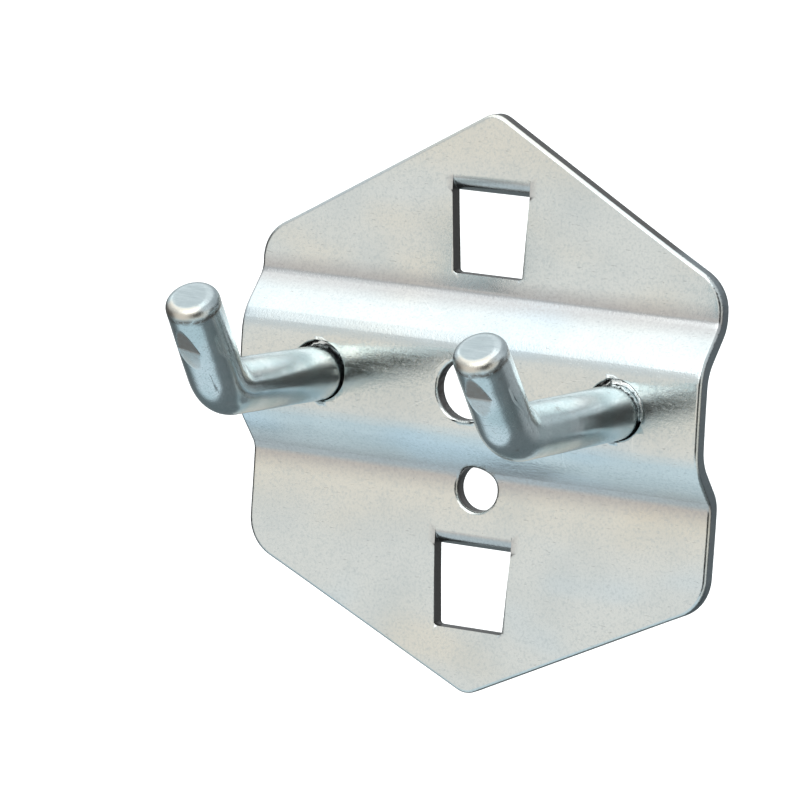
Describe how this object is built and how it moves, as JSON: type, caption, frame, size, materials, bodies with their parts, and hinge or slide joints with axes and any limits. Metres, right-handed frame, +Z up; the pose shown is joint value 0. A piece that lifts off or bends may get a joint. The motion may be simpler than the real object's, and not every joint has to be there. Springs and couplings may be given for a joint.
{
  "type": "double-prong tool hook",
  "caption": "Stamped and zinc-plated panel hook: elongated hexagonal plate with a pressed band, rear tabs for square panel holes and round prongs turned up at their ends.",
  "frame": {"origin": "middle of the upper tab's underside, where it rests on the lower edge of a panel hole, on the plane that touches the panel", "axes": "+Y into the panel, +Z up along the plate, +X to the right seen from the front; the prongs point to -Y"},
  "size_m": [0.055, 0.0437, 0.062],
  "materials": {
    "plate_zinc": "bright zinc plate on stamped steel sheet, satin, with faint blue and straw tints",
    "prong_zinc": "bright zinc plate on drawn steel bar, semi-gloss",
    "weld_metal": "zinc-plated weld metal, rippled"
  },
  "bodies": {
    "root": {"back_plate": "plate_zinc", "prong_left": "prong_zinc", "prong_right": "prong_zinc", "weld_left": "weld_metal", "weld_right": "weld_metal"}
  },
  "joints": []
}
